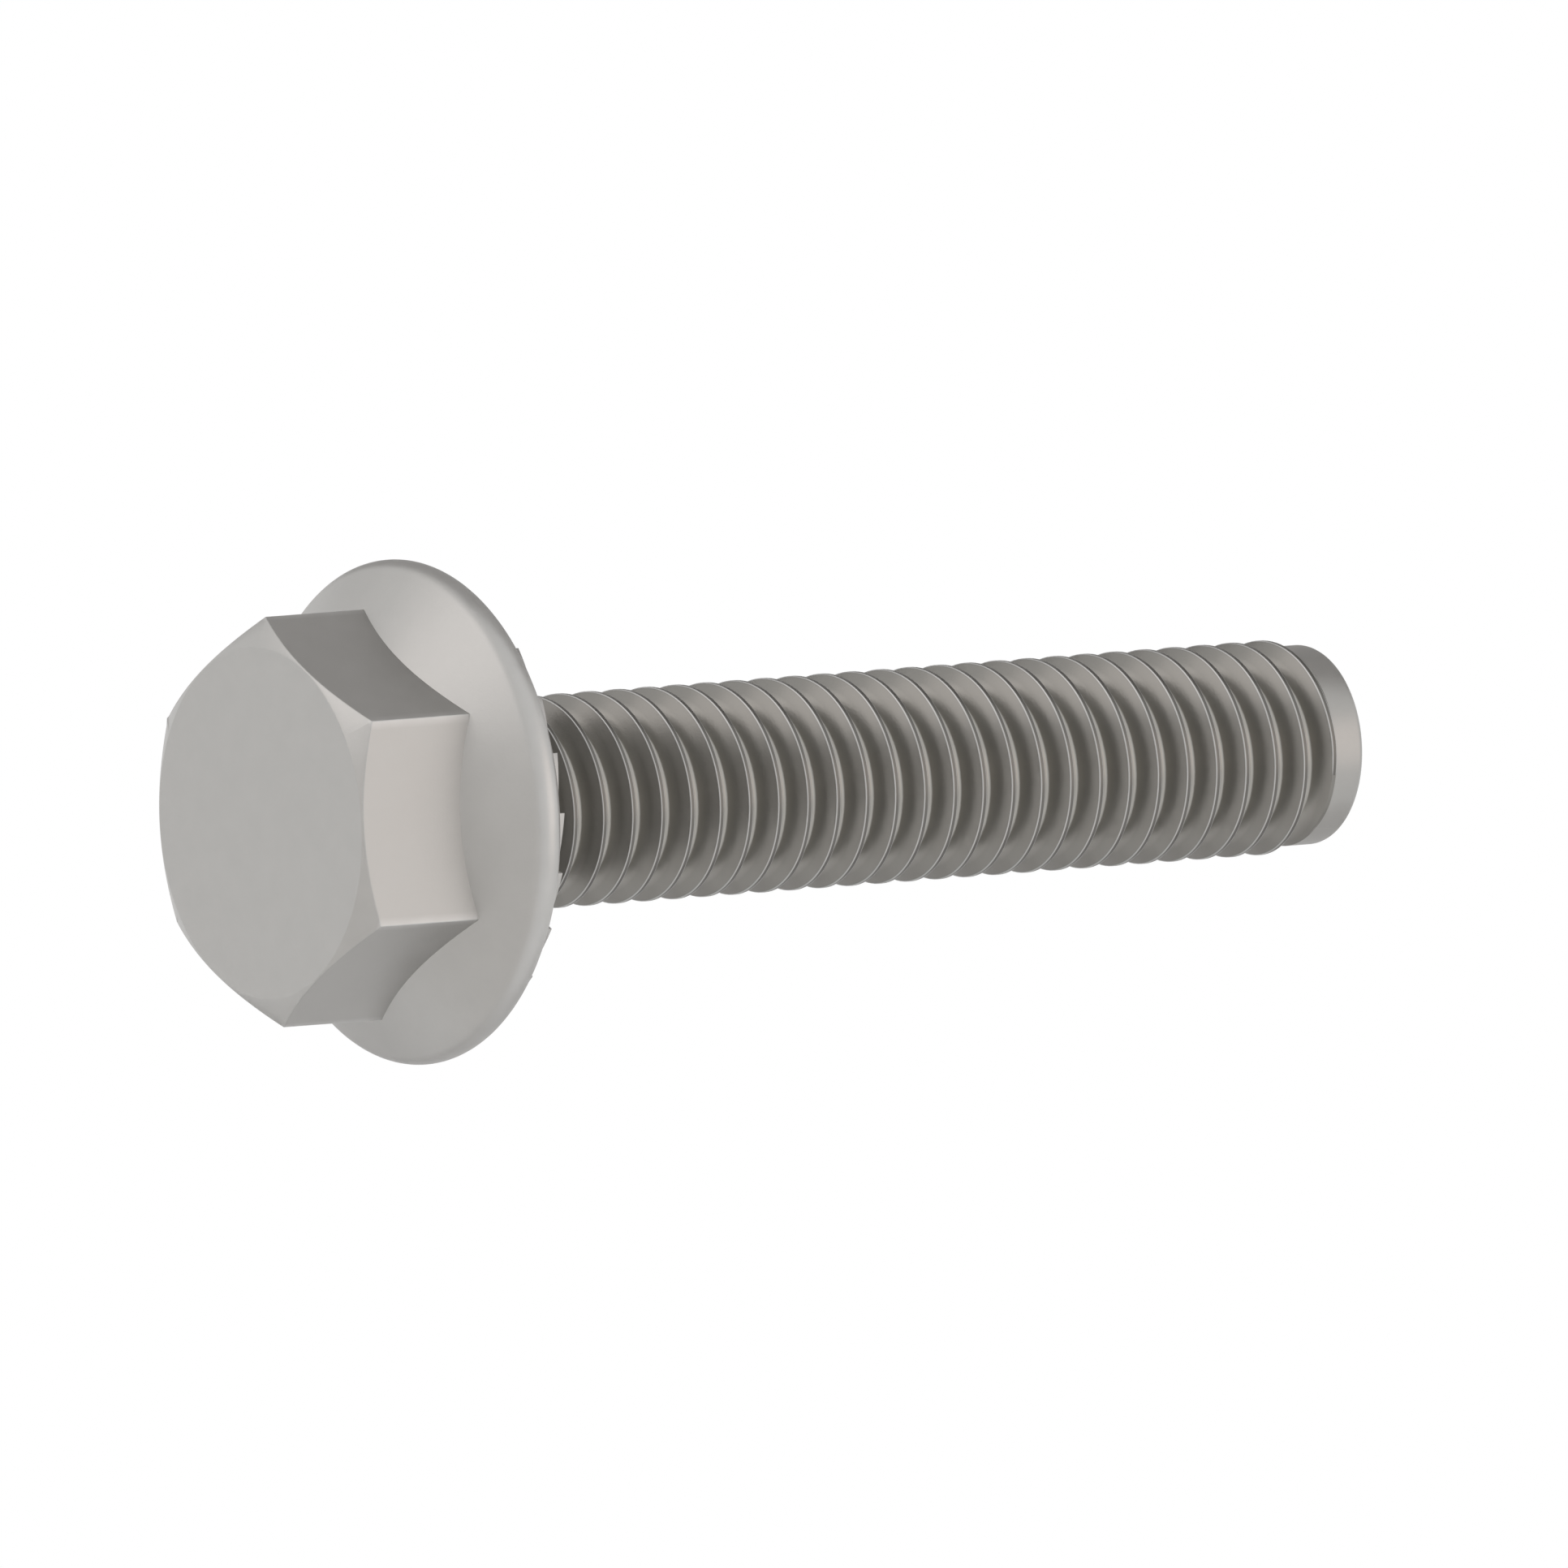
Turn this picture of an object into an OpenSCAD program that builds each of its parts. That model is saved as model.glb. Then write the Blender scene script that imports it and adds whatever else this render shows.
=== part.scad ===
// Serrated hexagon flange bolt, threaded along its shank, standing on its head with the tip up.
// The axis is Z, the head's top face lies on z = 0, and a corner of the hexagon points along +X.

/* [Head] */
// Width of the hexagon across its flats
across_flats = 10; // [9:0.1:10.5]
// Height of the head, from its top face to the tips of the serrations
head_h = 5.85; // [5.2:0.05:7]
// Slope of the chamfer round the top face, from that face
chamfer_angle = 30; // [15:1:35]

/* [Flange] */
// Diameter of the flange
flange_d = 14.2; // [13.6:0.1:17]
// Thickness of the flange at its edge, which is a full round
flange_edge = 1.1; // [0.8:0.05:1.4]
// Slope of the flange's cone, from the plane of the flange
flange_angle = 33; // [20:1:36]
// Radius of the fillet between the bearing face and the neck
fillet_r = 0.4; // [0.35:0.05:0.6]

/* [Serrations] */
// Number of teeth round the bearing face
tooth_count = 24; // [16:1:36]
// Height of a tooth at its steep side
tooth_h = 0.25; // [0.15:0.05:0.4]
// Diameter of the circle on which the teeth end
teeth_d = 13.1; // [12:0.1:13.2]
// Diameter of the plain ring inside the teeth
seat_ring_d = 8.6; // [7.6:0.1:10]
// Height of the pad under the teeth, above the flange's flat back
pad_h = 0.05; // [0.05:0.05:0.2]

/* [Thread] */
// Major diameter of the thread
thread_d = 6; // [5.5:0.1:6.2]
// Distance from one crest to the next
pitch = 1; // [0.8:0.05:1.25]
// Length of the shank, from the tips of the serrations to the end
shank_l = 30; // [12:1:36]
// Length of the plain neck under the head
neck_l = 0.8; // [0.6:0.1:2]
// Height of the first crest over the bearing face on the +X side, in pitches
crest_phase = 0.09; // [0:0.01:0.99]

/* [Tip] */
// How far the plain tip lies under the crests
tip_drop = 0.2; // [0.1:0.05:0.4]
// Length of the plain tip
tip_l = 1; // [0.8:0.1:3]
// Radius of the tip's rounded edge
tip_edge = 0.2; // [0.1:0.05:0.4]

/* [Hidden] */
// Heights over the head's top face
bearing_z = head_h;
pad_z = bearing_z - tooth_h;
flange_back_z = pad_z - pad_h;
neck_end_z = bearing_z + neck_l;
end_z = bearing_z + shank_l;
tip_z = end_z - tip_l;

// The flange's rounded edge, and the point where the cone runs into it
rim_r = flange_edge / 2;
rim_at_r = flange_d / 2 - rim_r;
rim_at_z = flange_back_z - rim_r;
cone_end_r = rim_at_r + rim_r * sin(flange_angle);
cone_end_z = rim_at_z - rim_r * cos(flange_angle);
cone_start_r = across_flats / 4;
cone_start_z = cone_end_z - (cone_end_r - cone_start_r) * tan(flange_angle);

// A tooth's angle, its length at the outer ends, and how deep it is rooted in the pad
tooth_turn = 360 / tooth_count;
tooth_l = teeth_d / 2 * tan(tooth_turn);
tooth_root = rim_r / 2;

// Metric thread form: 60 degrees, with crests an eighth and roots a sixth of the pitch wide
crest_w = pitch / 8;
root_w = pitch / 6;
flank_w = (pitch - crest_w - root_w) / 2;
half_section = crest_w / 2 + flank_w;
crest_r = thread_d / 2;
thread_depth = flank_w / tan(30);
root_r = crest_r - thread_depth;
neck_r = crest_r - 3 / 8 * pitch * cos(30);
tip_r = crest_r - tip_drop;

// The thread's skin is swept in short steps, one turn too far at each end, and cut off square
// inside the neck and the tip. Its crests rise out of the neck and sink into the tip over half a turn.
steps = 24;
fade_steps = steps / 2;
thread_low_z = bearing_z + neck_l / 2;
thread_high_z = tip_z + tip_l / 2;
first_step = floor(steps_to(thread_low_z + half_section - pitch));
last_step = ceil(steps_to(thread_high_z - half_section + pitch));
rise_step = steps_to(neck_end_z - pitch / 4);
sink_step = steps_to(tip_z + pitch / 3);

$fn = 96;

// Steps along the helix to the place where its crest is at height z
function steps_to(z) = ((z - bearing_z) / pitch - crest_phase) * steps;

// Share of the full depth that the thread has at a step
function fade(i) = max(0, min(1, (i - rise_step) / fade_steps, (sink_step - i) / fade_steps));

// The four corners of the thread's section at a step: root, crest, crest, root
function section(i) =
    let (
        turn = 360 * i / steps,
        z = bearing_z + (crest_phase + i / steps) * pitch,
        top_r = root_r + thread_depth * fade(i),
        corners = [[root_r, -half_section], [top_r, -crest_w / 2], [top_r, crest_w / 2], [root_r, half_section]]
    )
    [for (c = corners) [c[0] * cos(turn), c[0] * sin(turn), z + c[1]]];

// The two triangles between an edge from a to b and the next edge, from c to d
function strip(a, b, c, d) = [[a, c, b], [b, c, d]];

// Triangles from one point on the axis to each edge of a rim
function fan(axis, rim) = [for (i = [0:len(rim) - 2]) [axis, rim[i], rim[i + 1]]];

// Points are numbered 4 to a section; crests and flanks join a section to the next one,
// and the root joins it to the section one turn on
module thread_skin() {
    sections = [for (i = [first_step:last_step]) each section(i)];
    count = len(sections);
    last = count / 4 - 1;
    crests = [for (i = [0:last - 1], k = [0:2]) each strip(4 * i + k, 4 * i + k + 1, 4 * i + k + 4, 4 * i + k + 5)];
    roots = [for (i = [0:last - steps - 1])
        each strip(4 * i + 3, 4 * (i + steps), 4 * i + 7, 4 * (i + steps + 1))];
    low_rim = concat([3, 2, 1], [for (i = [0:steps]) 4 * i], [3]);
    high_rim = concat([for (i = [last - steps:last]) 4 * i + 3], [4 * last + 2, 4 * last + 1, 4 * last],
                      [4 * (last - steps) + 3]);
    polyhedron(
        points = concat(sections, [[0, 0, sections[0][2]], [0, 0, sections[count - 1][2]]]),
        faces = concat(crests, roots, fan(count, low_rim), [for (f = fan(count + 1, high_rim)) [f[0], f[2], f[1]]]),
        convexity = 10
    );
}

module thread() {
    color("#b4b2ae")
    intersection() {
        thread_skin();
        translate([0, 0, thread_low_z]) cylinder(h = thread_high_z - thread_low_z, d = 2 * thread_d);
    }
}

module hexagon() {
    color("#b4b2ae")
    intersection() {
        cylinder(h = rim_at_z, d = across_flats / cos(30), $fn = 6);
        cylinder(h = rim_at_z, r1 = across_flats / 2, r2 = across_flats / 2 + rim_at_z / tan(chamfer_angle));
    }
}

// Half section of the flange, the pad under the teeth, the bearing ring, the fillet and the neck
module flange_section() {
    polygon([
        [0, cone_start_z],
        [cone_start_r, cone_start_z],
        [cone_end_r, cone_end_z],
        [rim_at_r, rim_at_z],
        [rim_at_r, flange_back_z],
        [0, flange_back_z]
    ]);
    translate([rim_at_r, rim_at_z]) circle(r = rim_r);
    translate([0, rim_at_z]) square([teeth_d / 2, pad_z - rim_at_z]);
    translate([0, rim_at_z]) square([seat_ring_d / 2, bearing_z - rim_at_z]);
    difference() {
        translate([0, rim_at_z]) square([neck_r + fillet_r, bearing_z + fillet_r - rim_at_z]);
        translate([neck_r + fillet_r, bearing_z + fillet_r]) circle(r = fillet_r);
    }
    polygon([[0, bearing_z], [neck_r, bearing_z], [neck_r, neck_end_z], [0, neck_end_z + neck_r]]);
}

module flange() {
    color("#bab8b4")
    rotate_extrude() flange_section();
}

// One tooth along +X: its steep side is radial, and it slopes down the way that tightens the bolt
module tooth() {
    rotate([90, 0, 90])
    linear_extrude(height = teeth_d)
    polygon([[0, -tooth_root], [0, tooth_h], [tooth_l, 0], [tooth_l, -tooth_root]]);
}

module serrations() {
    color("#c4c2be")
    intersection() {
        translate([0, 0, pad_z])
        for (i = [0:tooth_count - 1])
            rotate(i * tooth_turn) translate([seat_ring_d / 2 - tooth_root, 0, 0]) tooth();
        cylinder(h = end_z, d = teeth_d);
    }
}

module tip() {
    color("#b4b2ae")
    translate([0, 0, tip_z])
    rotate_extrude() {
        polygon([[0, -tip_r], [tip_r, 0], [tip_r, tip_l - tip_edge], [0, tip_l - tip_edge]]);
        square([tip_r - tip_edge, tip_l]);
        translate([tip_r - tip_edge, tip_l - tip_edge]) circle(r = tip_edge);
    }
}

module flange_bolt() {
    hexagon();
    flange();
    serrations();
    thread();
    tip();
}

flange_bolt();
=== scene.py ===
"""A serrated hexagon flange bolt in satin steel on a studio stage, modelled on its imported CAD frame."""

import math
from collections import defaultdict

import bpy
from bpy.props import FloatProperty, FloatVectorProperty, IntProperty, PointerProperty
from mathutils import Matrix, Vector


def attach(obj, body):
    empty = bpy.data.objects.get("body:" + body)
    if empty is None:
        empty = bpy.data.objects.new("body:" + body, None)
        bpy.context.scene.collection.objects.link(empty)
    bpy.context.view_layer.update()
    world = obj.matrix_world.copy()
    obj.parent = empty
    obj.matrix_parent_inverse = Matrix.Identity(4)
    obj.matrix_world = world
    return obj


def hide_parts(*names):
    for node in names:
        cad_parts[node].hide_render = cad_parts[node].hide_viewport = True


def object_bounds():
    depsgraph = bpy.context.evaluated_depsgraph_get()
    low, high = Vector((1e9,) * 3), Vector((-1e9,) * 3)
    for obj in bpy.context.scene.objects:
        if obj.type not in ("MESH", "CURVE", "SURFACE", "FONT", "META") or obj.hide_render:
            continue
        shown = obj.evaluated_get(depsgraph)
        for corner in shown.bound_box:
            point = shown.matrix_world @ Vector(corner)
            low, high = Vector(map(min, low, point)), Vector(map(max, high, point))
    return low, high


bl_info = {
    "name": "Flange bolt",
    "version": (1, 0, 0),
    "blender": (4, 5, 0),
    "location": "3D View > Sidebar > Flange bolt",
    "description": "Models a serrated hexagon flange bolt and the stage it is shown on",
    "category": "Add Mesh",
}

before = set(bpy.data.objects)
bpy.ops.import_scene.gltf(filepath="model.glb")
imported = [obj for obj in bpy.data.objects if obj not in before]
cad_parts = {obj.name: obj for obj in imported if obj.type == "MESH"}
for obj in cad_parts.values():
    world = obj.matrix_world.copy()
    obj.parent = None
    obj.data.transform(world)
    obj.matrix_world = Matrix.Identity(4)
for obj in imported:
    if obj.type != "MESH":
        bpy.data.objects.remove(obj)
cad_low, cad_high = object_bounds()

CAD_NODE = "flange_bolt"
BODY = "root"
PIECE = "bolt"
AXIS = (0, 0, 1)
MERGE = 1e-7  # metres, a hundredth of the finest detail
STRAIGHT = math.radians(0.1)  # a bend under which two edges are taken as one
FULL_TURN = 2 * math.pi
HEX_TURN = math.radians(30)
THREAD_FLANK = math.radians(30)
CREST_SHARE = 1 / 8  # widths of the thread's crest and root, as shares of the pitch
ROOT_SHARE = 1 / 6


class BoltHead(bpy.types.PropertyGroup):
    across_flats: FloatProperty(
        name="Across flats", description="Width of the hexagon across its flats",
        default=0.010, min=0.009, max=0.0105, subtype="DISTANCE", unit="LENGTH")
    top_circle: FloatProperty(
        name="Top circle", description="Diameter of the flat circle that the chamfer leaves on the head",
        default=0.0099, min=0.008, max=0.0099, subtype="DISTANCE", unit="LENGTH")
    chamfer: FloatProperty(
        name="Chamfer", description="Slope of the chamfer, from the head's top face",
        default=math.radians(30), min=math.radians(15), max=math.radians(35),
        subtype="ANGLE", unit="ROTATION")
    soft_edge: FloatProperty(
        name="Soft edge", description="Width of the small bevel on the hexagon's edges",
        default=0.00003, min=0.00001, max=0.00006, subtype="DISTANCE", unit="LENGTH")


class BoltFlange(bpy.types.PropertyGroup):
    diameter: FloatProperty(
        name="Diameter", description="Diameter of the flange",
        default=0.0142, min=0.0136, max=0.017, subtype="DISTANCE", unit="LENGTH")
    edge: FloatProperty(
        name="Edge", description="Thickness of the flange's edge, which is a full round",
        default=0.0011, min=0.0008, max=0.0014, subtype="DISTANCE", unit="LENGTH")
    cone: FloatProperty(
        name="Cone", description="Slope of the flange's cone, from the plane of the flange",
        default=math.radians(33), min=math.radians(20), max=math.radians(36),
        subtype="ANGLE", unit="ROTATION")
    bearing_height: FloatProperty(
        name="Bearing height", description="Height of the bearing face over the head's top face",
        default=0.00585, min=0.0052, max=0.007, subtype="DISTANCE", unit="LENGTH")
    back_height: FloatProperty(
        name="Back height", description="Height of the flange's flat back over the head's top face",
        default=0.00555, min=0.0049, max=0.0066, subtype="DISTANCE", unit="LENGTH")
    fillet: FloatProperty(
        name="Fillet", description="Radius between the bearing face and the neck",
        default=0.0004, min=0.00035, max=0.0006, subtype="DISTANCE", unit="LENGTH")
    segments: IntProperty(
        name="Segments", description="Steps round the head, the flange, the neck and the tip",
        default=192, min=96, max=288)


class BoltTeeth(bpy.types.PropertyGroup):
    count: IntProperty(
        name="Count", description="Number of serrations round the bearing face",
        default=24, min=16, max=36)
    height: FloatProperty(
        name="Height", description="Height of a tooth at its steep side",
        default=0.000248, min=0.00015, max=0.0004, subtype="DISTANCE", unit="LENGTH")
    outer: FloatProperty(
        name="Outer circle", description="Diameter of the circle on which the teeth end",
        default=0.01306, min=0.012, max=0.0132, subtype="DISTANCE", unit="LENGTH")
    ring: FloatProperty(
        name="Plain ring", description="Diameter of the plain ring inside the teeth",
        default=0.0086, min=0.0076, max=0.01, subtype="DISTANCE", unit="LENGTH")
    soft_edge: FloatProperty(
        name="Soft edge", description="Width of the small bevel on the teeth",
        default=0.000014, min=0.000005, max=0.00003, subtype="DISTANCE", unit="LENGTH")


class BoltThread(bpy.types.PropertyGroup):
    major: FloatProperty(
        name="Major diameter", description="Diameter of the thread over its crests",
        default=0.006, min=0.0055, max=0.0062, subtype="DISTANCE", unit="LENGTH")
    pitch: FloatProperty(
        name="Pitch", description="Distance from one crest to the next",
        default=0.001, min=0.0008, max=0.00125, subtype="DISTANCE", unit="LENGTH")
    neck: FloatProperty(
        name="Neck", description="Length of the plain neck under the head",
        default=0.0008, min=0.0006, max=0.002, subtype="DISTANCE", unit="LENGTH")
    first_crest: FloatProperty(
        name="First crest",
        description="Height of the first crest over the bearing face on the +X side, in pitches",
        default=0.09, min=0, max=0.99)
    crest_round: FloatProperty(
        name="Crest round", description="Radius of the crests' edges",
        default=0.00003, min=0.00001, max=0.00005, subtype="DISTANCE", unit="LENGTH")
    root_round: FloatProperty(
        name="Root round", description="Radius at the bottom of the grooves",
        default=0.0001, min=0.00002, max=0.00012, subtype="DISTANCE", unit="LENGTH")
    steps: IntProperty(
        name="Steps", description="Steps in one turn of the thread",
        default=96, min=48, max=120)


class BoltTip(bpy.types.PropertyGroup):
    drop: FloatProperty(
        name="Drop", description="How far the plain tip lies under the crests",
        default=0.0002, min=0.0001, max=0.0004, subtype="DISTANCE", unit="LENGTH")
    length: FloatProperty(
        name="Length", description="Length of the plain tip",
        default=0.001, min=0.0008, max=0.003, subtype="DISTANCE", unit="LENGTH")
    edge: FloatProperty(
        name="Edge", description="Radius of the tip's rounded edge",
        default=0.0002, min=0.0001, max=0.0004, subtype="DISTANCE", unit="LENGTH")


class BoltSteel(bpy.types.PropertyGroup):
    colour: FloatVectorProperty(
        name="Colour", description="Colour of the satin steel",
        default=(0.44, 0.432, 0.418), min=0, max=1, size=3, subtype="COLOR")
    # painted shade: the thread's flanks take a darker colour that stands in for the shade between its
    # crests
    thread_painted_shading: FloatVectorProperty(
        name="Thread colour", description="Colour of the darker steel on the thread's flanks",
        default=(0.235, 0.227, 0.211), min=0, max=1, size=3, subtype="COLOR")
    # painted light: the bottoms of the grooves take a lighter colour that offsets the shade there
    groove_painted_light: FloatVectorProperty(
        name="Groove colour", description="Colour of the steel at the bottom of the thread's grooves",
        default=(0.37, 0.356, 0.33), min=0, max=1, size=3, subtype="COLOR")
    # painted shade: the crest flats are darkened between the painted highlight lines on their edges
    crest_painted_shade: FloatVectorProperty(
        name="Crest colour", description="Colour of the narrow dark flats on the thread's crests",
        default=(0.155, 0.149, 0.138), min=0, max=1, size=3, subtype="COLOR")
    thread_roughness: FloatProperty(
        name="Thread roughness", description="Roughness of the rolled thread, as a share of the head's",
        default=0.75, min=0.2, max=1, subtype="FACTOR")
    # rubbed-bright wear on the hexagon's corners and the flange's rim, and also the painted highlight lines
    # on the thread's crest edges
    wear_and_highlight_colour: FloatVectorProperty(
        name="Worn colour", description="Colour of the steel where edges are rubbed bright",
        default=(0.56, 0.555, 0.545), min=0, max=1, size=3, subtype="COLOR")
    smoothest: FloatProperty(
        name="Smoothest", description="Roughness of the smoothest patches",
        default=0.34, min=0, max=1, subtype="FACTOR")
    roughest: FloatProperty(
        name="Roughest", description="Roughness of the roughest patches",
        default=0.46, min=0, max=1, subtype="FACTOR")
    grain_depth: FloatProperty(
        name="Grain depth", description="Depth of the fine grain in the surface",
        default=0.000002, min=0, max=0.00001, subtype="DISTANCE", unit="LENGTH")


class BoltStage(bpy.types.PropertyGroup):
    head_turn: FloatProperty(
        name="Head turn", description="Angle between the bolt's axis and the line of sight",
        default=math.radians(55.2), min=0, max=math.radians(180), subtype="ANGLE", unit="ROTATION")
    climb: FloatProperty(
        name="Climb", description="How far the bolt's axis climbs to the right in the picture",
        default=math.radians(4.31), min=math.radians(-90), max=math.radians(90),
        subtype="ANGLE", unit="ROTATION")
    corner_turn: FloatProperty(
        name="Corner turn", description="Turn of the hexagon's upper corner from the picture's upright",
        default=math.radians(3.14), min=-HEX_TURN, max=HEX_TURN, subtype="ANGLE", unit="ROTATION")
    picture_width: FloatProperty(
        name="Picture width", description="Width of what the camera sees",
        default=0.043962, min=0.02, max=0.2, subtype="DISTANCE", unit="LENGTH")
    aim_right: FloatProperty(
        name="Aim right", description="How far the picture's middle lies right of the head",
        default=0.014308, min=-0.05, max=0.05, subtype="DISTANCE", unit="LENGTH")
    aim_up: FloatProperty(
        name="Aim up", description="How far the picture's middle lies above the head",
        default=0.001069, min=-0.05, max=0.05, subtype="DISTANCE", unit="LENGTH")
    floor_colour: FloatVectorProperty(
        name="Floor colour", description="Colour of the pale floor",
        default=(0.9, 0.9, 0.9), min=0, max=1, size=3, subtype="COLOR")
    upper_card: FloatVectorProperty(
        name="Upper card", description="Colour of the card that shades the steel from above and behind",
        default=(0.485, 0.478, 0.473), min=0, max=1, size=3, subtype="COLOR")
    lower_card: FloatVectorProperty(
        name="Lower card", description="Colour of the card that shades the steel from below and behind",
        default=(0.71, 0.71, 0.71), min=0, max=1, size=3, subtype="COLOR")
    near_card: FloatVectorProperty(
        name="Near card", description="Colour of the card that shades the steel from the near side",
        default=(0.92, 0.91, 0.9), min=0, max=1, size=3, subtype="COLOR")
    daylight: FloatProperty(
        name="Daylight", description="Strength of the even light all round on the floor and the cards",
        default=0.95, min=0, max=1, subtype="FACTOR")
    key_light: FloatProperty(
        name="Key light", description="Power of the soft lamp on the head's side",
        default=0.06, min=0, max=1, subtype="POWER", unit="POWER")
    side_light: FloatProperty(
        name="Side light", description="Power of the warm soft lamp on the near side",
        default=0.045, min=0, max=1, subtype="POWER", unit="POWER")


GROUPS = {
    "bolt_head": BoltHead, "bolt_flange": BoltFlange, "bolt_teeth": BoltTeeth, "bolt_thread": BoltThread,
    "bolt_tip": BoltTip, "bolt_steel": BoltSteel, "bolt_stage": BoltStage,
}


def select_only(obj):
    """Leaves obj as the one selected and active object."""
    bpy.ops.object.select_all(action="DESELECT")
    obj.select_set(True)
    bpy.context.view_layer.objects.active = obj


def edit_all(obj):
    """Opens obj's mesh with all of it selected."""
    select_only(obj)
    bpy.ops.object.mode_set(mode="EDIT")
    bpy.ops.mesh.select_mode(type="VERT")
    bpy.ops.mesh.select_all(action="SELECT")


def close_mesh(obj):
    """Merges the seams and poles of obj's mesh and points its faces outwards."""
    edit_all(obj)
    bpy.ops.mesh.remove_doubles(threshold=MERGE)
    bpy.ops.mesh.normals_make_consistent(inside=False)
    bpy.ops.object.mode_set(mode="OBJECT")


def drop_spare_points(obj):
    """Dissolves the points that only divide a straight edge, which a union leaves behind."""
    mesh, ends = obj.data, defaultdict(list)
    for edge in mesh.edges:
        first, second = edge.vertices
        ends[first].append(mesh.vertices[second].co.copy())
        ends[second].append(mesh.vertices[first].co.copy())
    spare = []
    for v in mesh.vertices:
        near = ends[v.index]
        if len(near) == 2 and (near[0] - v.co).angle(v.co - near[1]) < STRAIGHT:
            spare.append(v.index)
    edit_all(obj)
    bpy.ops.mesh.select_all(action="DESELECT")
    bpy.ops.object.mode_set(mode="OBJECT")
    for index in spare:
        mesh.vertices[index].select = True
    bpy.ops.object.mode_set(mode="EDIT")
    bpy.ops.mesh.dissolve_verts()
    bpy.ops.object.mode_set(mode="OBJECT")


def rounded(corners, segments=4):
    """Points of an outline through corners (radius, height, fillet), with short arcs for the fillets."""
    points = []
    for i, (r, z, fillet) in enumerate(corners):
        here = Vector((r, z))
        if not fillet:
            points.append(here)
            continue
        back = (Vector(corners[i - 1][:2]) - here).normalized()
        ahead = (Vector(corners[i + 1][:2]) - here).normalized()
        half = back.angle(ahead) / 2
        centre = here + (back + ahead).normalized() * fillet / math.sin(half)
        start = here + back * fillet / math.tan(half) - centre
        end = here + ahead * fillet / math.tan(half) - centre
        for k in range(segments + 1):
            points.append(centre + start.slerp(end, k / segments).normalized() * fillet)
    return points


def draw_profile(name, points):
    """A chain of edges over the XZ plane, drawn by extruding one vertex from point to point."""
    seed_size = 0.001
    bpy.ops.object.select_all(action="DESELECT")
    bpy.ops.mesh.primitive_plane_add(size=seed_size)
    obj = bpy.context.active_object
    obj.name = name
    bpy.ops.object.mode_set(mode="EDIT")
    bpy.ops.mesh.select_all(action="SELECT")
    bpy.ops.mesh.merge(type="CENTER")
    bpy.ops.transform.translate(value=(points[0].x, 0, points[0].y))
    for before, after in zip(points, points[1:]):
        step = after - before
        bpy.ops.mesh.extrude_region_move(TRANSFORM_OT_translate={"value": (step.x, 0, step.y)})
    bpy.ops.object.mode_set(mode="OBJECT")
    return obj


def turn_profile(name, points, segments):
    """A closed solid of revolution about the bolt's axis."""
    obj = draw_profile(name, points)
    edit_all(obj)
    bpy.ops.mesh.spin(steps=segments, angle=FULL_TURN, center=(0, 0, 0), axis=AXIS)
    bpy.ops.object.mode_set(mode="OBJECT")
    close_mesh(obj)
    return obj


def apply_modifier(obj, kind, **settings):
    """Adds a modifier to obj, sets it and applies it, and says so if it can't be applied."""
    select_only(obj)
    bpy.ops.object.modifier_add(type=kind)
    modifier = obj.modifiers[-1]
    for key, value in settings.items():
        setattr(modifier, key, value)
    bpy.ops.object.modifier_apply(modifier=modifier.name)
    if obj.modifiers:
        raise RuntimeError(f"{kind.lower()} can't be applied to {obj.name}")


def combine(obj, other, operation):
    """Joins other to obj, or cuts obj by it, and removes other."""
    apply_modifier(obj, "BOOLEAN", operation=operation, object=other, solver="MANIFOLD")
    bpy.data.objects.remove(other)


def pad_z(scene):
    """Height of the pad under the teeth."""
    return scene.bolt_flange.bearing_height - scene.bolt_teeth.height


def rim_centre(scene):
    """Radius and height of the centre of the flange's rounded edge."""
    flange = scene.bolt_flange
    return Vector(((flange.diameter - flange.edge) / 2, flange.back_height - flange.edge / 2))


def cone_end(scene):
    """Radius and height at which the flange's cone runs into its rounded edge."""
    flange = scene.bolt_flange
    return rim_centre(scene) + Vector((math.sin(flange.cone), -math.cos(flange.cone))) * flange.edge / 2


def cone_z(scene, r):
    """Height of the flange's cone at a radius."""
    end = cone_end(scene)
    return end.y - (end.x - r) * math.tan(scene.bolt_flange.cone)


def thread_form(scene):
    """Widths of half a crest and half a section, and the root radius, of a 60 degree thread."""
    thread = scene.bolt_thread
    half_crest, half_root = thread.pitch * CREST_SHARE / 2, thread.pitch * ROOT_SHARE / 2
    flank = thread.pitch / 2 - half_crest - half_root
    return half_crest, half_crest + flank, thread.major / 2 - flank / math.tan(THREAD_FLANK)


def neck_r(scene):
    """The radius from which the thread is rolled, which is its pitch radius."""
    thread = scene.bolt_thread
    return thread.major / 2 - 3 / 8 * thread.pitch * math.cos(THREAD_FLANK)


def neck_end_z(scene):
    """Height at which the plain neck ends."""
    return scene.bolt_flange.bearing_height + scene.bolt_thread.neck


def tip_z(scene):
    """Height at which the plain tip starts."""
    return cad_high.z - scene.bolt_tip.length


def corner_r(scene):
    """Radius of the hexagon's corners."""
    return scene.bolt_head.across_flats / 2 / math.cos(HEX_TURN)


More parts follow.
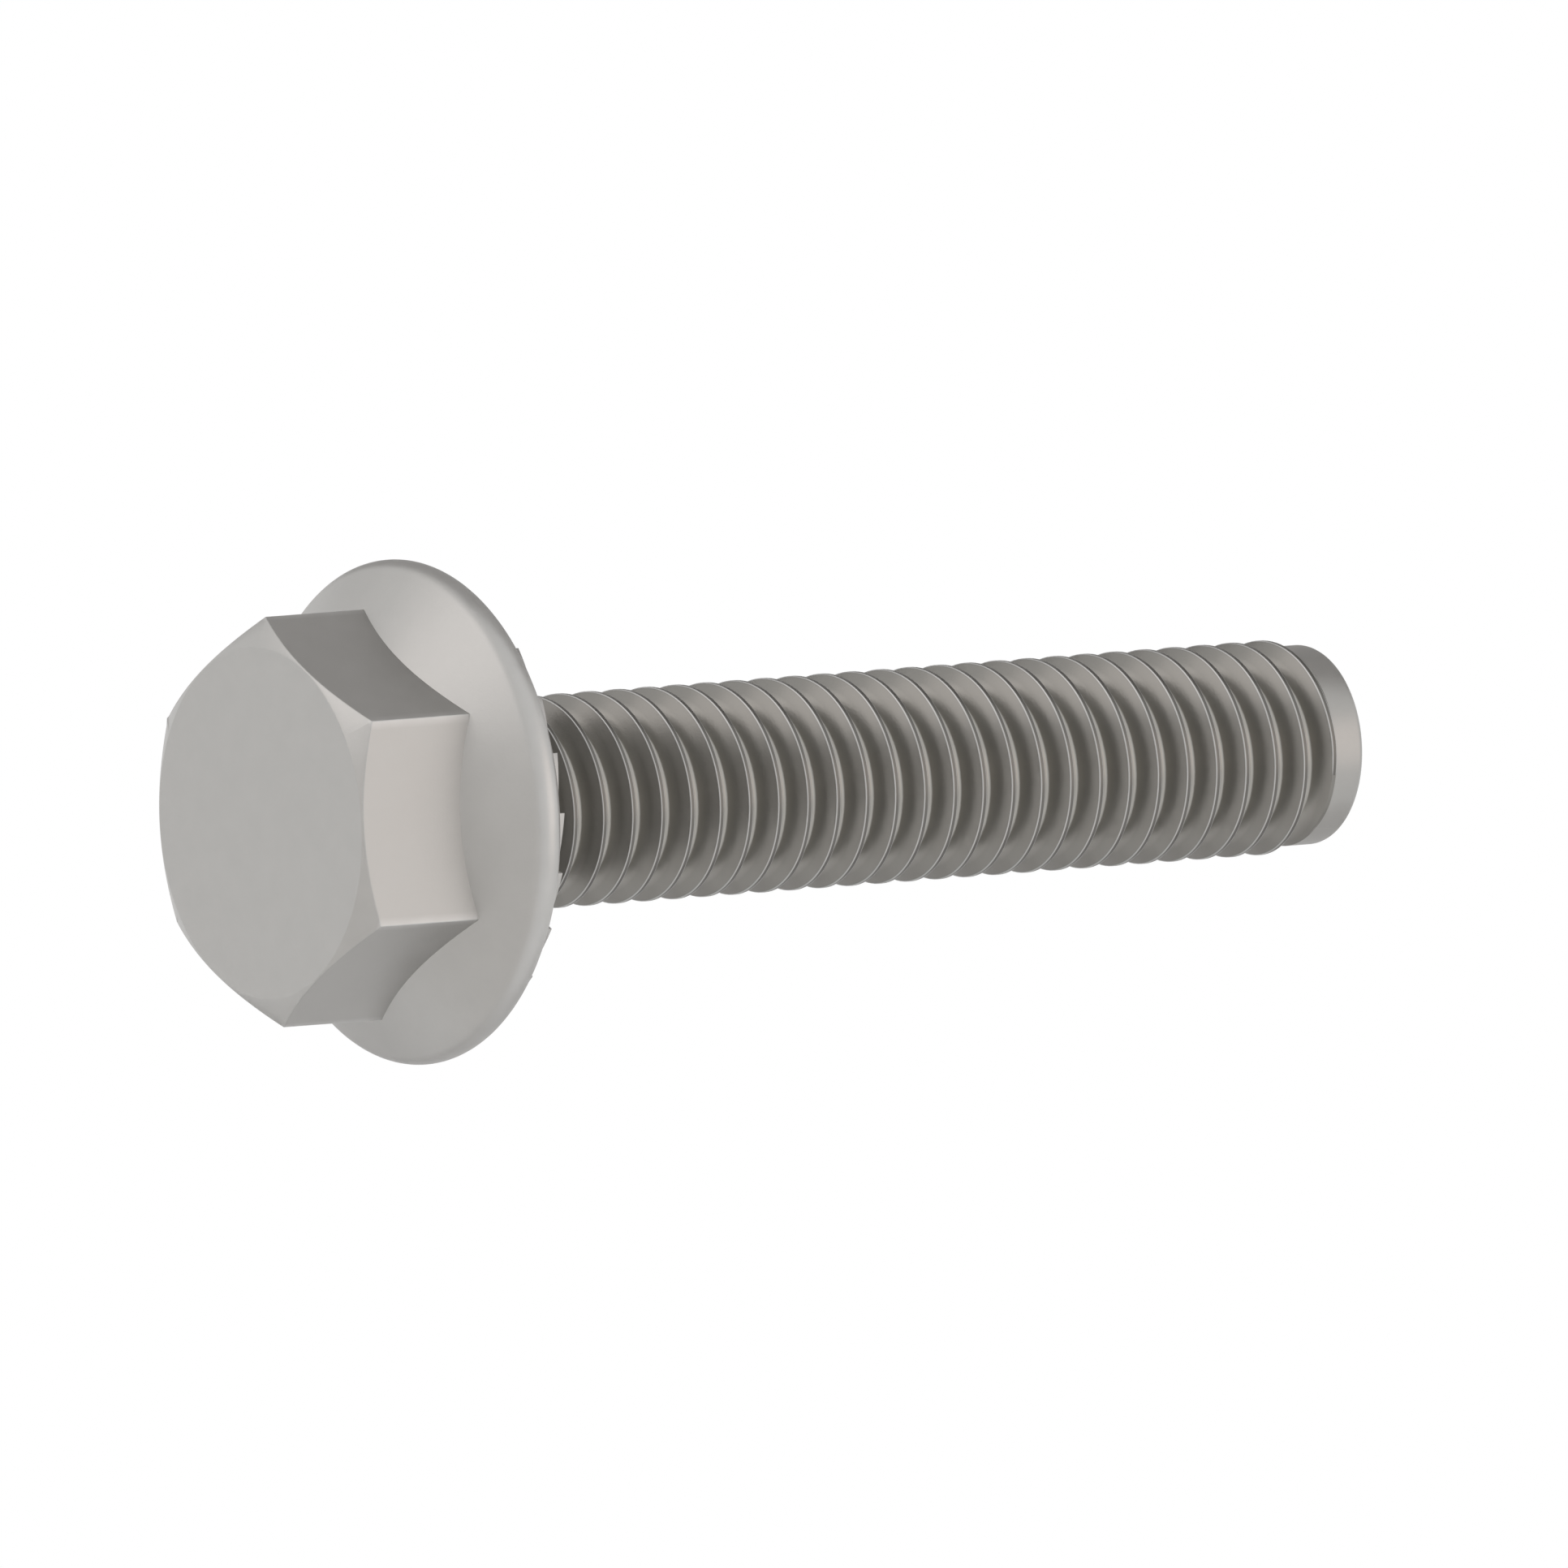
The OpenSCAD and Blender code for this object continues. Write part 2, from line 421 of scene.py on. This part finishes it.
class BOLT_OT_hexagon(bpy.types.Operator):
    """Model the hexagon of the head, chamfered round its top face"""

    bl_idname = "bolt.hexagon"
    bl_label = "Hexagon"

    def execute(self, context):
        head, segments = context.scene.bolt_head, context.scene.bolt_flange.segments
        height, sharp = rim_centre(context.scene).y, math.radians(20)
        middle = (0, 0, height / 2)
        bpy.ops.object.select_all(action="DESELECT")
        bpy.ops.mesh.primitive_cylinder_add(
            vertices=6, radius=corner_r(context.scene), depth=height,
            location=middle, rotation=(0, 0, HEX_TURN))
        hexagon = context.active_object
        hexagon.name = "hexagon"
        bpy.ops.object.transform_apply()
        bpy.ops.mesh.primitive_cone_add(
            vertices=segments, radius1=head.top_circle / 2,
            radius2=head.top_circle / 2 + height / math.tan(head.chamfer), depth=height, location=middle)
        cone = context.active_object
        bpy.ops.object.transform_apply()
        combine(hexagon, cone, "INTERSECT")
        apply_modifier(hexagon, "BEVEL", width=head.soft_edge, segments=2, limit_method="ANGLE",
                       angle_limit=sharp)
        return {"FINISHED"}


class BOLT_OT_flange(bpy.types.Operator):
    """Turn the flange with its cone and rounded edge, the plain bearing ring, the fillet and the neck"""

    bl_idname = "bolt.flange"
    bl_label = "Flange and neck"

    def execute(self, context):
        scene = context.scene
        flange, ring_r, neck = scene.bolt_flange, scene.bolt_teeth.ring / 2, neck_r(scene)
        rim, rim_r, top_z = rim_centre(scene), flange.edge / 2, flange.bearing_height
        inner_r = scene.bolt_head.across_flats / 4
        inner_z = cone_z(scene, inner_r)
        arc_steps, ring_edge = 20, 0.00004
        round_edge = [
            rim + Vector((math.sin(a), -math.cos(a))) * rim_r
            for a in (flange.cone + (math.pi - flange.cone) * k / arc_steps for k in range(arc_steps + 1))]
        points = [Vector((0, inner_z)), Vector((inner_r, inner_z))] + round_edge + rounded([
            (ring_r, flange.back_height, 0),
            (ring_r, top_z, ring_edge),
            (neck, top_z, flange.fillet),
            (neck, neck_end_z(scene), 0),
            (0, neck_end_z(scene) + neck, 0),
        ], segments=8)
        turn_profile("flange", points, flange.segments)
        return {"FINISHED"}


class BOLT_OT_serrations(bpy.types.Operator):
    """Model one tooth of the bearing face, copy it round and close the copies to a ring"""

    bl_idname = "bolt.serrations"
    bl_label = "Serrations"

    def execute(self, context):
        scene = context.scene
        teeth, low, foot = scene.bolt_teeth, pad_z(scene), rim_centre(scene).y
        turn, hidden, steps = FULL_TURN / teeth.count, 0.00003, 6
        angle_slack, sharp = 1e-5, math.radians(40)
        inner, outer = teeth.ring / 2 - hidden, teeth.outer / 2
        ramp = outer * math.tan(turn)
        tooth = draw_profile("tooth", [Vector((inner, foot)), Vector((outer, foot))])
        edit_all(tooth)
        # a spin turns clockwise about its axis
        bpy.ops.mesh.spin(steps=steps, angle=-turn, center=(0, 0, 0), axis=AXIS)

        def lift(at_angle):
            """Extrudes the tooth's top onto the ramp, all at one angle or each point at its own."""
            bpy.ops.mesh.extrude_region_move(TRANSFORM_OT_translate={"value": (0, 0, 0)})
            bpy.ops.object.mode_set(mode="OBJECT")
            for v in tooth.data.vertices:
                if v.select:
                    r = math.hypot(v.co.x, v.co.y)
                    angle = at_angle(math.atan2(v.co.y, v.co.x))
                    v.co.z = low + teeth.height * (1 - r * math.sin(angle) / ramp)
            bpy.ops.object.mode_set(mode="EDIT")

        # the walls rise in two lifts, so that the next tooth's ramp ends on an edge of the steep side
        bpy.ops.mesh.select_all(action="SELECT")
        lift(lambda angle: turn)
        lift(lambda angle: angle)
        bpy.ops.mesh.select_all(action="SELECT")
        bpy.ops.mesh.remove_doubles(threshold=MERGE)
        bpy.ops.mesh.select_mode(type="FACE")
        bpy.ops.mesh.select_all(action="DESELECT")
        bpy.ops.object.mode_set(mode="OBJECT")
        for face in tooth.data.polygons:
            corners = [tooth.data.vertices[i].co for i in face.vertices]
            angles = [math.atan2(corner.y, corner.x) for corner in corners]
            at_start, at_end = max(angles) < MERGE, min(angles) > turn - angle_slack
            at_foot = min(corner.z for corner in corners) < foot + MERGE
            face.select = at_end or (at_start and at_foot)
        bpy.ops.object.mode_set(mode="EDIT")
        bpy.ops.mesh.delete(type="FACE")
        bpy.ops.object.mode_set(mode="OBJECT")

        copies = [tooth]
        for k in range(1, teeth.count):
            select_only(tooth)
            bpy.ops.object.duplicate(linked=False)
            copy = context.active_object
            copy.rotation_euler.z = k * turn
            bpy.ops.object.transform_apply()
            copies.append(copy)
        for copy in copies:
            copy.select_set(True)
        context.view_layer.objects.active = tooth
        bpy.ops.object.join()
        tooth.name = "serrations"
        close_mesh(tooth)
        apply_modifier(tooth, "BEVEL", width=teeth.soft_edge, segments=2, limit_method="ANGLE",
                       angle_limit=sharp)
        return {"FINISHED"}


class BOLT_OT_thread(bpy.types.Operator):
    """Screw the thread's profile up the shank and let its crests run in and out"""

    bl_idname = "bolt.thread"
    bl_label = "Thread"

    def execute(self, context):
        scene = context.scene
        thread, bearing = scene.bolt_thread, scene.bolt_flange.bearing_height
        half_crest, half_section, root = thread_form(scene)
        crest, half = thread.major / 2, thread.pitch / 2
        start_z, in_tip = bearing + (thread.first_crest - 1) * thread.pitch, 0.3
        low_z, high_z = bearing + thread.neck / 2, tip_z(scene) + scene.bolt_tip.length * in_tip
        turns = math.ceil((high_z - start_z) / thread.pitch + 1)
        outline = rounded([
            (root, start_z - half, 0),
            (root, start_z - half_section, thread.root_round),
            (crest, start_z - half_crest, thread.crest_round),
            (crest, start_z + half_crest, thread.crest_round),
            (root, start_z + half_section, thread.root_round),
            (root, start_z + half, 0),
        ], segments=3)
        shank = draw_profile("thread", outline)
        apply_modifier(shank, "SCREW", angle=FULL_TURN, screw_offset=thread.pitch, iterations=turns,
                       steps=thread.steps, render_steps=thread.steps, use_smooth_shade=True)
        rise_z, sink_z = neck_end_z(scene) - thread.pitch / 4, tip_z(scene) + thread.pitch / 3
        for v in shank.data.vertices:
            r, turn = math.hypot(v.co.x, v.co.y), math.atan2(v.co.y, v.co.x) / FULL_TURN
            rise = round((v.co.z - start_z) / thread.pitch - turn) + turn
            centre_z = start_z + rise * thread.pitch
            depth = max(0, min(1, (centre_z - rise_z) / half, (sink_z - centre_z) / half))
            new_r = root + (r - root) * depth
            v.co.x *= new_r / r
            v.co.y *= new_r / r
        close_mesh(shank)
        for height, keep_low in ((low_z, False), (high_z, True)):
            edit_all(shank)
            bpy.ops.mesh.bisect(plane_co=(0, 0, height), plane_no=AXIS, use_fill=True,
                                clear_inner=not keep_low, clear_outer=keep_low, threshold=MERGE)
            bpy.ops.object.mode_set(mode="OBJECT")
        close_mesh(shank)
        return {"FINISHED"}


class BOLT_OT_tip(bpy.types.Operator):
    """Turn the plain tip with its rounded edge"""

    bl_idname = "bolt.tip"
    bl_label = "Tip"

    def execute(self, context):
        scene = context.scene
        tip, low, high = scene.bolt_tip, tip_z(scene), cad_high.z
        radius, low_edge = scene.bolt_thread.major / 2 - tip.drop, 0.00003
        turn_profile("tip", rounded([
            (0, low - radius, 0),
            (radius, low, low_edge),
            (radius, high, tip.edge),
            (0, high, 0),
        ], segments=8), scene.bolt_flange.segments)
        return {"FINISHED"}


class BOLT_OT_finish(bpy.types.Operator):
    """Join the forms to one piece of steel, shade it and let it stand for the CAD solid"""

    bl_idname = "bolt.finish"
    bl_label = "One piece of steel"

    def execute(self, context):
        smooth_up_to = math.radians(38)
        bolt = bpy.data.objects["flange"]
        for name in ("hexagon", "serrations", "thread", "tip"):
            combine(bolt, bpy.data.objects[name], "UNION")
        bolt.name = bolt.data.name = PIECE
        close_mesh(bolt)
        drop_spare_points(bolt)
        bpy.ops.object.shade_smooth_by_angle(angle=smooth_up_to)
        apply_modifier(bolt, "WEIGHTED_NORMAL", mode="FACE_AREA", weight=50, keep_sharp=True)
        bolt.data.materials.clear()
        bolt.data.materials.append(satin_steel(context.scene.bolt_steel))
        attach(bolt, BODY)
        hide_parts(CAD_NODE)
        return {"FINISHED"}


def node_group(name, inputs, outputs):
    """An empty shader node group with those sockets, each (name, kind, default), and its two end nodes."""
    group = bpy.data.node_groups.new(name, "ShaderNodeTree")
    for socket, kind, default in inputs:
        made = group.interface.new_socket(socket, in_out="INPUT", socket_type=kind)
        if default is not None:
            made.default_value = default
    for socket, kind in outputs:
        group.interface.new_socket(socket, in_out="OUTPUT", socket_type=kind)
    return group, group.nodes.new("NodeGroupInput"), group.nodes.new("NodeGroupOutput")


def math_node(tree, operation, *values, clamp=False):
    """A Math node fed by sockets or numbers; gives its output."""
    node = tree.nodes.new("ShaderNodeMath")
    node.operation, node.use_clamp = operation, clamp
    for socket, value in zip(node.inputs, values):
        if isinstance(value, bpy.types.NodeSocket):
            tree.links.new(value, socket)
        else:
            socket.default_value = value
    return node.outputs[0]


def mix_colours(tree, factor, low, high):
    """A Mix node from colour low to colour high; gives its output."""
    node = tree.nodes.new("ShaderNodeMix")
    node.data_type = "RGBA"
    for name, value in (("Factor_Float", factor), ("A_Color", low), ("B_Color", high)):
        socket = next(s for s in node.inputs if s.identifier == name)
        if isinstance(value, bpy.types.NodeSocket):
            tree.links.new(value, socket)
        else:
            socket.default_value = (*value, 1)
    return next(s for s in node.outputs if s.identifier == "Result_Color")


def noise(tree, place, scale, detail):
    """A Noise Texture node; gives its value."""
    node = tree.nodes.new("ShaderNodeTexNoise")
    node.inputs["Scale"].default_value = scale
    node.inputs["Detail"].default_value = detail
    tree.links.new(place, node.inputs["Vector"])
    return node.outputs["Fac"]


def worn_band_group():
    """A mask that rises from 0 to 1 between two distances from the bolt's axis, broken up by noise."""
    patch_gain, patch_floor = 1.2, 0.2
    group, start, end = node_group(
        "Worn band",
        [("Place", "NodeSocketVector", None), ("From", "NodeSocketFloat", 0), ("To", "NodeSocketFloat", 1)],
        [("Mask", "NodeSocketFloat"), ("Distance", "NodeSocketFloat")])
    parts = group.nodes.new("ShaderNodeSeparateXYZ")
    group.links.new(start.outputs["Place"], parts.inputs[0])
    distance = math_node(group, "SQRT", math_node(
        group, "ADD", math_node(group, "POWER", parts.outputs["X"], 2.0),
        math_node(group, "POWER", parts.outputs["Y"], 2.0)))
    share = math_node(
        group, "DIVIDE", math_node(group, "SUBTRACT", distance, start.outputs["From"]),
        math_node(group, "SUBTRACT", start.outputs["To"], start.outputs["From"]), clamp=True)
    patches = noise(group, start.outputs["Place"], scale=900.0, detail=3.0)
    patches = math_node(group, "MULTIPLY_ADD", patches, patch_gain, patch_floor)
    broken = math_node(group, "MULTIPLY", share, patches, clamp=True)
    group.links.new(broken, end.inputs["Mask"])
    group.links.new(distance, end.inputs["Distance"])
    return group


def fine_grain_group():
    """Two sizes of surface grain, each from 0 to 1: clouds of a millimetre and fine grit."""
    group, start, end = node_group(
        "Fine grain", [("Place", "NodeSocketVector", None)],
        [("Clouds", "NodeSocketFloat"), ("Grit", "NodeSocketFloat")])
    group.links.new(noise(group, start.outputs["Place"], scale=1100.0, detail=4.0), end.inputs["Clouds"])
    group.links.new(noise(group, start.outputs["Place"], scale=16000.0, detail=2.0), end.inputs["Grit"])
    return group


def crest_masks(tree, place, distance, scene):
    """Masks of the two thin painted highlight lines along the edges of the thread's crest, and of the crest
    itself, whose flat is painted in shade.
    """
    thread = scene.bolt_thread
    parts = tree.nodes.new("ShaderNodeSeparateXYZ")
    tree.links.new(place, parts.inputs[0])
    angle = math_node(tree, "ARCTAN2", parts.outputs["Y"], parts.outputs["X"])
    turn = math_node(tree, "DIVIDE", angle, FULL_TURN)
    start = scene.bolt_flange.bearing_height + thread.first_crest * thread.pitch
    rise = math_node(tree, "DIVIDE", math_node(tree, "SUBTRACT", parts.outputs["Z"], start), thread.pitch)
    rise = math_node(tree, "SUBTRACT", rise, turn)
    nearest_crest = math_node(tree, "ROUND", rise)
    from_crest = math_node(tree, "ABSOLUTE", math_node(tree, "SUBTRACT", rise, nearest_crest))
    half_crest, half_line = CREST_SHARE / 2, 0.025
    from_edge = math_node(tree, "ABSOLUTE", math_node(tree, "SUBTRACT", from_crest, half_crest))
    line = math_node(tree, "SUBTRACT", 1.0, math_node(tree, "DIVIDE", from_edge, half_line), clamp=True)
    crest = math_node(tree, "LESS_THAN", from_crest, half_crest + half_line)
    near = math_node(tree, "GREATER_THAN", distance, thread.major / 2 - 2 * thread.crest_round)
    return math_node(tree, "MULTIPLY", line, near), math_node(tree, "MULTIPLY", crest, near)


def satin_steel(looks):
    """Satin steel: smoother on the thread and darker there by painted shade, brighter on rubbed edges, with
    a fine grain; the crests carry painted highlight lines on their edges and painted shade on their flats,
    and the groove bottoms painted light.
    """
    wear_width, rim_wear, tip_share = 0.00012, 0.5, 0.25
    darkest_tone, tone_range, grit_share = 0.95, 0.1, 0.4
    scene = bpy.context.scene
    thread, flange = scene.bolt_thread, scene.bolt_flange
    material = bpy.data.materials.new("satin_steel")
    material.use_nodes = True
    tree = material.node_tree
    shader = tree.nodes["Principled BSDF"]
    shader.inputs["Metallic"].default_value = 1.0
    place = tree.nodes.new("ShaderNodeTexCoord").outputs["Object"]
    grain = tree.nodes.new("ShaderNodeGroup")
    grain.node_tree = fine_grain_group()
    tree.links.new(place, grain.inputs["Place"])
    worn_band = worn_band_group()

    def band(low, high):
        """The Worn band group between two distances from the axis."""
        node = tree.nodes.new("ShaderNodeGroup")
        node.node_tree = worn_band
        tree.links.new(place, node.inputs["Place"])
        node.inputs["From"].default_value, node.inputs["To"].default_value = low, high
        return node

    corner, rim = corner_r(scene), flange.diameter / 2
    parts = tree.nodes.new("ShaderNodeSeparateXYZ")
    tree.links.new(place, parts.inputs[0])
    height = parts.outputs["Z"]
    corners, rims = band(corner - wear_width, corner), band(rim - wear_width, rim)
    distance = corners.outputs["Distance"]

    # the thread's darker colour, painted shade of its grooves, fades in where its crests rise, and a share
    # of it goes on over the plain tip
    half_pitch = thread.pitch / 2
    fade = math_node(tree, "DIVIDE", math_node(tree, "SUBTRACT", height, neck_end_z(scene) - half_pitch),
                     half_pitch, clamp=True)
    under_tip = math_node(tree, "LESS_THAN", height, tip_z(scene))
    on_thread = math_node(tree, "MULTIPLY", fade, math_node(
        tree, "MULTIPLY_ADD", under_tip, 1 - tip_share, tip_share))
    under_cone = math_node(tree, "LESS_THAN", height, cone_z(scene, corner - wear_width))
    wear_and_highlight = math_node(tree, "ADD", math_node(tree, "MULTIPLY", corners.outputs["Mask"], under_cone),
                     math_node(tree, "MULTIPLY", rims.outputs["Mask"], rim_wear))
    # painted highlight: the thin lines on the crest edges are mixed into the bright worn colour, next to
    # the real wear on corners and rim
    crest_highlight, crest = crest_masks(tree, place, distance, scene)
    wear_and_highlight = math_node(tree, "ADD", wear_and_highlight, math_node(tree, "MULTIPLY", on_thread, crest_highlight), clamp=True)
    # painted light: the colour turns lighter towards the bottom of the grooves, to offset the shade there
    half_depth = (thread.major / 2 - thread_form(scene)[2]) / 2
    groove_light_mask = math_node(tree, "DIVIDE", math_node(tree, "SUBTRACT", thread.major / 2 - half_depth, distance),
                       half_depth, clamp=True)

    thread_painted_shading = mix_colours(tree, groove_light_mask, tuple(looks.thread_painted_shading), tuple(looks.groove_painted_light))
    # painted shade on the crest flats
    thread_painted_shading = mix_colours(tree, crest, thread_painted_shading, tuple(looks.crest_painted_shade))
    colour = mix_colours(tree, on_thread, tuple(looks.colour), thread_painted_shading)
    colour = mix_colours(tree, wear_and_highlight, colour, tuple(looks.wear_and_highlight_colour))
    toned = tree.nodes.new("ShaderNodeVectorMath")
    toned.operation = "SCALE"
    tone = math_node(tree, "MULTIPLY_ADD", grain.outputs["Clouds"], tone_range, darkest_tone)
    tree.links.new(colour, toned.inputs[0])
    tree.links.new(tone, toned.inputs["Scale"])
    tree.links.new(toned.outputs[0], shader.inputs["Base Color"])
    mixed = math_node(tree, "MULTIPLY_ADD", grain.outputs["Grit"], grit_share,
                      math_node(tree, "MULTIPLY", grain.outputs["Clouds"], 1 - grit_share))
    rough = math_node(tree, "MULTIPLY_ADD", mixed, looks.roughest - looks.smoothest, looks.smoothest)
    rough = math_node(tree, "MULTIPLY", rough, math_node(
        tree, "MULTIPLY_ADD", on_thread, looks.thread_roughness - 1, 1.0))
    tree.links.new(rough, shader.inputs["Roughness"])
    bump = tree.nodes.new("ShaderNodeBump")
    bump.inputs["Strength"].default_value = 1.0
    bump.inputs["Distance"].default_value = looks.grain_depth
    tree.links.new(grain.outputs["Grit"], bump.inputs["Height"])
    tree.links.new(bump.outputs["Normal"], shader.inputs["Normal"])
    return material


def plain_material(name, colour):
    """A matt material and a clear one, mixed by a factor that the caller links to the rays that see it."""
    material = bpy.data.materials.new(name)
    material.use_nodes = True
    tree = material.node_tree
    tree.nodes.clear()
    paint = tree.nodes.new("ShaderNodeBsdfDiffuse")
    paint.inputs["Color"].default_value = (*colour, 1)
    clear = tree.nodes.new("ShaderNodeBsdfTransparent")
    mix = tree.nodes.new("ShaderNodeMixShader")
    end = tree.nodes.new("ShaderNodeOutputMaterial")
    tree.links.new(clear.outputs[0], mix.inputs[1])
    tree.links.new(paint.outputs[0], mix.inputs[2])
    tree.links.new(mix.outputs[0], end.inputs["Surface"])
    return material, tree, mix


class BOLT_OT_stage(bpy.types.Operator):
    """Set the camera, the pale floor, the cards and the soft lamps"""

    bl_idname = "bolt.stage"
    bl_label = "Stage"

    def execute(self, context):
        scene = context.scene
        stage, head = scene.bolt_stage, scene.bolt_head
        card_distance, lamp_distance = 0.12, 0.25
        scene.view_settings.view_transform = "Standard"
        up, right, toward = self.picture_axes(stage)
        # the picture's middle is given from the axis, at the height of the chamfered corners
        corner_z = (corner_r(scene) - head.across_flats / 2) * math.tan(head.chamfer)
        aim = Vector((0, 0, corner_z)) + right * stage.aim_right + up * stage.aim_up
        self.add_camera(context, stage, aim, up, right, toward)
        self.add_daylight(scene, stage)
        self.add_floor(stage)
        middle = (cad_low + cad_high) / 2

        def place(way, distance):
            """A point round the bolt, by its direction in the picture: right, up and nearer."""
            way = right * way[0] + up * way[1] + toward * way[2]
            return middle + way.normalized() * distance

        cards = (
            ("card_above", (0.1, 0.78, -0.62), 0.2, stage.upper_card),
            ("card_below", (0, -0.75, -0.66), 0.2, stage.lower_card),
            ("card_near", (-0.65, -0.45, 0.6), 0.18, stage.near_card),
        )
        for name, way, size, colour in cards:
            self.add_card(name, place(way, card_distance), middle, size, colour)
        lamps = (
            ("lamp_key", (-0.74, 0.58, 0.34), stage.key_light, (1, 0.93, 0.91)),
            ("lamp_side", (0.93, 0.07, 0.35), stage.side_light, (1, 0.83, 0.74)),
        )
        for name, way, power, colour in lamps:
            self.add_lamp(name, place(way, lamp_distance), middle, power, colour)
        return {"FINISHED"}

    def picture_axes(self, stage):
        """The picture's up, its right and the way to the camera, for the bolt on its head."""
        turn, climb, spin = stage.head_turn, stage.climb, stage.corner_turn
        axis = Vector(AXIS)
        across = Vector((-math.cos(spin), math.sin(spin), 0))
        near = Vector((-math.sin(spin), -math.cos(spin), 0))
        flat = axis * math.sin(turn) + near * math.cos(turn)
        right = flat * math.cos(climb) - across * math.sin(climb)
        up = flat * math.sin(climb) + across * math.cos(climb)
        return up, right, near * math.sin(turn) - axis * math.cos(turn)

    def add_camera(self, context, stage, aim, up, right, toward):
        """A camera without perspective, with aim in the middle of its picture."""
        distance = 0.2
        bpy.ops.object.camera_add(location=aim + toward * distance)
        camera = context.active_object
        camera.name = "camera"
        camera.rotation_mode = "QUATERNION"
        camera.rotation_quaternion = Matrix((right, up, toward)).transposed().to_quaternion()
        camera.data.type = "ORTHO"
        camera.data.ortho_scale = stage.picture_width
        camera.data.clip_start, camera.data.clip_end = 0.001, 10
        context.scene.camera = camera

    def add_daylight(self, scene, stage):
        """White wherever the camera or the steel looks, and an even light on all else."""
        world = bpy.data.worlds.new("daylight")
        world.use_nodes = True
        scene.world = world
        tree = world.node_tree
        tree.nodes.clear()
        path = tree.nodes.new("ShaderNodeLightPath")
        seen = math_node(tree, "MAXIMUM", path.outputs["Is Camera Ray"], math_node(
            tree, "MAXIMUM", path.outputs["Is Glossy Ray"], path.outputs["Is Transmission Ray"]))
        white, even = tree.nodes.new("ShaderNodeBackground"), tree.nodes.new("ShaderNodeBackground")
        white.inputs["Color"].default_value = even.inputs["Color"].default_value = (1, 1, 1, 1)
        white.inputs["Strength"].default_value = 1.0
        even.inputs["Strength"].default_value = stage.daylight
        mix, end = tree.nodes.new("ShaderNodeMixShader"), tree.nodes.new("ShaderNodeOutputWorld")
        tree.links.new(seen, mix.inputs[0])
        tree.links.new(even.outputs[0], mix.inputs[1])
        tree.links.new(white.outputs[0], mix.inputs[2])
        tree.links.new(mix.outputs[0], end.inputs["Surface"])

    def add_floor(self, stage):
        """A pale floor under the head that a camera below it looks through, so that the head shows."""
        gap, size = 0.00002, 4
        bpy.ops.object.select_all(action="DESELECT")
        bpy.ops.mesh.primitive_plane_add(size=size, location=(0, 0, -gap))
        floor = bpy.context.active_object
        floor.name = "floor"
        material, tree, mix = plain_material("pale_floor", stage.floor_colour)
        path = tree.nodes.new("ShaderNodeLightPath").outputs["Is Camera Ray"]
        below = tree.nodes.new("ShaderNodeNewGeometry").outputs["Backfacing"]
        above = math_node(tree, "SUBTRACT", 1.0, below)
        tree.links.new(math_node(tree, "MULTIPLY", path, above), mix.inputs[0])
        floor.data.materials.append(material)

    def add_card(self, name, place, target, size, colour):
        """A square card turned to the bolt, there only for the steel to mirror."""
        bpy.ops.object.select_all(action="DESELECT")
        bpy.ops.mesh.primitive_plane_add(
            size=size, location=place, rotation=(target - place).to_track_quat("Z", "Y").to_euler())
        card = bpy.context.active_object
        card.name = name
        material, tree, mix = plain_material(name, colour)
        path = tree.nodes.new("ShaderNodeLightPath").outputs["Is Glossy Ray"]
        tree.links.new(path, mix.inputs[0])
        card.data.materials.append(material)

    def add_lamp(self, name, place, target, power, colour):
        """A square soft lamp turned to the bolt."""
        size = 0.18
        bpy.ops.object.light_add(
            type="AREA", location=place, rotation=(place - target).to_track_quat("Z", "Y").to_euler())
        lamp = bpy.context.active_object
        lamp.name = name
        lamp.data.shape, lamp.data.size, lamp.data.energy = "SQUARE", size, power
        lamp.data.color = colour


class BOLT_PT_panel(bpy.types.Panel):
    """Lists what makes the bolt and its stage, in order"""

    bl_idname = "BOLT_PT_panel"
    bl_label = "Flange bolt"
    bl_space_type = "VIEW_3D"
    bl_region_type = "UI"
    bl_category = "Flange bolt"

    def draw(self, context):
        for operator in OPERATORS:
            self.layout.operator(operator.bl_idname)
        for name, group in GROUPS.items():
            box = self.layout.box()
            box.label(text=name.replace("_", " ").capitalize())
            for key in group.__annotations__:
                box.prop(getattr(context.scene, name), key)


OPERATORS = (
    BOLT_OT_hexagon, BOLT_OT_flange, BOLT_OT_serrations, BOLT_OT_thread, BOLT_OT_tip, BOLT_OT_finish,
    BOLT_OT_stage,
)


def register():
    """Makes the add-on's values, operators and panel known to Blender."""
    for group in GROUPS.values():
        bpy.utils.register_class(group)
    for name, group in GROUPS.items():
        setattr(bpy.types.Scene, name, PointerProperty(type=group))
    for operator in OPERATORS:
        bpy.utils.register_class(operator)
    bpy.utils.register_class(BOLT_PT_panel)


def unregister():
    """Takes the panel, the operators and the values away again."""
    bpy.utils.unregister_class(BOLT_PT_panel)
    for operator in reversed(OPERATORS):
        bpy.utils.unregister_class(operator)
    for name, group in reversed(GROUPS.items()):
        delattr(bpy.types.Scene, name)
        bpy.utils.unregister_class(group)


def main():
    """Makes the bolt and its stage."""
    register()
    bpy.ops.bolt.hexagon()
    bpy.ops.bolt.flange()
    bpy.ops.bolt.serrations()
    bpy.ops.bolt.thread()
    bpy.ops.bolt.tip()
    bpy.ops.bolt.finish()
    bpy.ops.bolt.stage()


if __name__ == "__main__":
    main()
